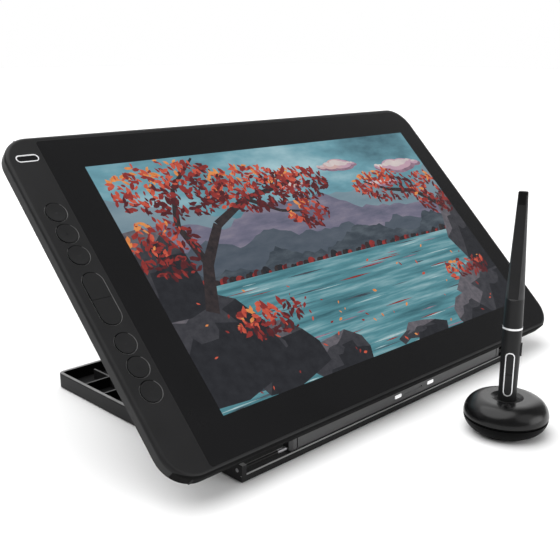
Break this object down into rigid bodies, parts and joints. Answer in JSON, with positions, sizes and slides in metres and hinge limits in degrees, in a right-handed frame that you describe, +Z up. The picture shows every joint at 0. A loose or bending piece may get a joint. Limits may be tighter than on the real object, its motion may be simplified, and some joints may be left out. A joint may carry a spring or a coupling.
{
  "type": "pen display with stand, pen and pen holder",
  "caption": "Flat drawing tablet with a built-in screen and a column of keys, leaning on a low tray stand with a tilting plate and prop leg, with its pen upright in a round holder.",
  "frame": {"origin": "on the desk, below the middle of the whole object's box", "axes": "+X along the tablet to the viewer's right, +Y to the back, +Z up"},
  "size_m": [0.3782, 0.281, 0.1767],
  "materials": {
    "shell": "satin",
    "key": "satin",
    "stand": "matte",
    "screen": "gloss",
    "panel": "gloss",
    "white": "satin",
    "board": "satin",
    "steel": "brushed",
    "chrome": "polished",
    "rubber": "matte",
    "pen": "satin",
    "gloss": "gloss",
    "copper": "satin",
    "iron": "matte"
  },
  "bodies": {
    "tray": {"base_tray": "stand", "tray_feet": "rubber", "tooth_racks": "stand", "hinge_rod": "steel"},
    "plate": {"support_plate": "stand", "plate_pads": "rubber", "ledge_inserts": "white", "leg_pivot_rod": "steel"},
    "leg": {"prop_leg": "stand", "leg_foot_rod": "steel", "foot_sleeves": "rubber"},
    "tablet": {"front_frame": "shell", "rear_shell": "shell", "screen_glass": "screen", "display_panel": "panel", "backlight_unit": "white", "sensor_board": "board", "shield_plate": "steel", "main_board": "board", "key_board": "board", "status_ring": "chrome", "status_lens": "gloss", "usb_c_ports": "steel", "tablet_feet": "rubber", "shell_screws": "steel"},
    "tablet_key_1": {"key_1": "key"},
    "tablet_key_2": {"key_2": "key"},
    "tablet_key_3": {"key_3": "key"},
    "tablet_key_4": {"key_4": "key"},
    "tablet_key_5": {"key_5": "key"},
    "tablet_key_6": {"key_6": "key"},
    "tablet_key_7": {"key_7": "key"},
    "tablet_key_8": {"key_8": "key"},
    "tablet_power": {"power_key": "key"},
    "holder": {"holder_bowl": "gloss", "holder_foot": "rubber", "holder_weight": "iron", "nib_tray": "stand", "spare_nibs": "pen"},
    "holder_top": {"holder_cover": "gloss", "holder_band": "gloss", "holder_liner": "rubber"},
    "pen": {"pen_front_barrel": "pen", "pen_tip_cone": "pen", "pen_ring": "chrome", "pen_rear_barrel": "pen", "pen_end_insert": "gloss", "pen_button_frame": "chrome", "pen_coil": "copper", "pen_board": "board"},
    "nib": {"pen_nib": "pen"},
    "lower_button": {"pen_button_lower": "pen"},
    "upper_button": {"pen_button_upper": "pen"}
  },
  "joints": [
    {"name": "plate_tilt", "type": "hinge", "parent": "tray", "child": "plate", "pos_m": [0, -0.0469, 0.0067], "axis": [1, 0, 0], "range_deg": [-24.5, 15.5]},
    {"name": "leg_swing", "type": "hinge", "parent": "plate", "child": "leg", "pos_m": [0, 0.01872, 0.07118], "axis": [1, 0, 0], "range_deg": [-31, 49]},
    {"name": "tablet_lift", "type": "slide", "parent": "plate", "child": "tablet", "axis": [0, 0, 1], "range_m": [0, 0.12]},
    {"name": "key_1_press", "type": "slide", "parent": "tablet", "child": "tablet_key_1", "axis": [0, 0.7009, -0.7132], "range_m": [0, 0.0005], "stiffness_N_per_m": 900, "springref_m": -0.0003},
    {"name": "key_2_press", "type": "slide", "parent": "tablet", "child": "tablet_key_2", "axis": [0, 0.7009, -0.7132], "range_m": [0, 0.0005], "stiffness_N_per_m": 900, "springref_m": -0.0003},
    {"name": "key_3_press", "type": "slide", "parent": "tablet", "child": "tablet_key_3", "axis": [0, 0.7009, -0.7132], "range_m": [0, 0.0005], "stiffness_N_per_m": 900, "springref_m": -0.0003},
    {"name": "key_4_press", "type": "slide", "parent": "tablet", "child": "tablet_key_4", "axis": [0, 0.7009, -0.7132], "range_m": [0, 0.0005], "stiffness_N_per_m": 900, "springref_m": -0.0003},
    {"name": "key_5_press", "type": "slide", "parent": "tablet", "child": "tablet_key_5", "axis": [0, 0.7009, -0.7132], "range_m": [0, 0.0005], "stiffness_N_per_m": 900, "springref_m": -0.0003},
    {"name": "key_6_press", "type": "slide", "parent": "tablet", "child": "tablet_key_6", "axis": [0, 0.7009, -0.7132], "range_m": [0, 0.0005], "stiffness_N_per_m": 900, "springref_m": -0.0003},
    {"name": "key_7_press", "type": "slide", "parent": "tablet", "child": "tablet_key_7", "axis": [0, 0.7009, -0.7132], "range_m": [0, 0.0005], "stiffness_N_per_m": 900, "springref_m": -0.0003},
    {"name": "key_8_press", "type": "slide", "parent": "tablet", "child": "tablet_key_8", "axis": [0, 0.7009, -0.7132], "range_m": [0, 0.0005], "stiffness_N_per_m": 900, "springref_m": -0.0003},
    {"name": "power_press", "type": "slide", "parent": "tablet", "child": "tablet_power", "axis": [0, -0.7132, -0.7009], "range_m": [0, 0.0004], "stiffness_N_per_m": 1200, "springref_m": -0.0003},
    {"name": "holder_lift", "type": "slide", "parent": "tray", "child": "holder", "axis": [0, 0, 1], "range_m": [0, 0.1]},
    {"name": "holder_twist", "type": "hinge", "parent": "holder", "child": "holder_top", "pos_m": [0.022, -0.1147, 0.01], "axis": [0, 0, 1], "range_deg": [0, 30]},
    {"name": "pen_lift", "type": "slide", "parent": "holder_top", "child": "pen", "axis": [0, 0, 1], "range_m": [0, 0.16]},
    {"name": "nib_press", "type": "slide", "parent": "pen", "child": "nib", "axis": [0, 0, 1], "range_m": [0, 0.0004], "stiffness_N_per_m": 800, "springref_m": -0.0003},
    {"name": "lower_button_press", "type": "slide", "parent": "pen", "child": "lower_button", "axis": [0.8746, 0.4848, 0], "range_m": [0, 0.00035], "stiffness_N_per_m": 800, "springref_m": -0.0003},
    {"name": "upper_button_press", "type": "slide", "parent": "pen", "child": "upper_button", "axis": [0.8746, 0.4848, 0], "range_m": [0, 0.00035], "stiffness_N_per_m": 800, "springref_m": -0.0003}
  ],
  "couplings": [
    {"joint": "leg_swing", "follows": "plate_tilt", "ratio": -2}
  ]
}
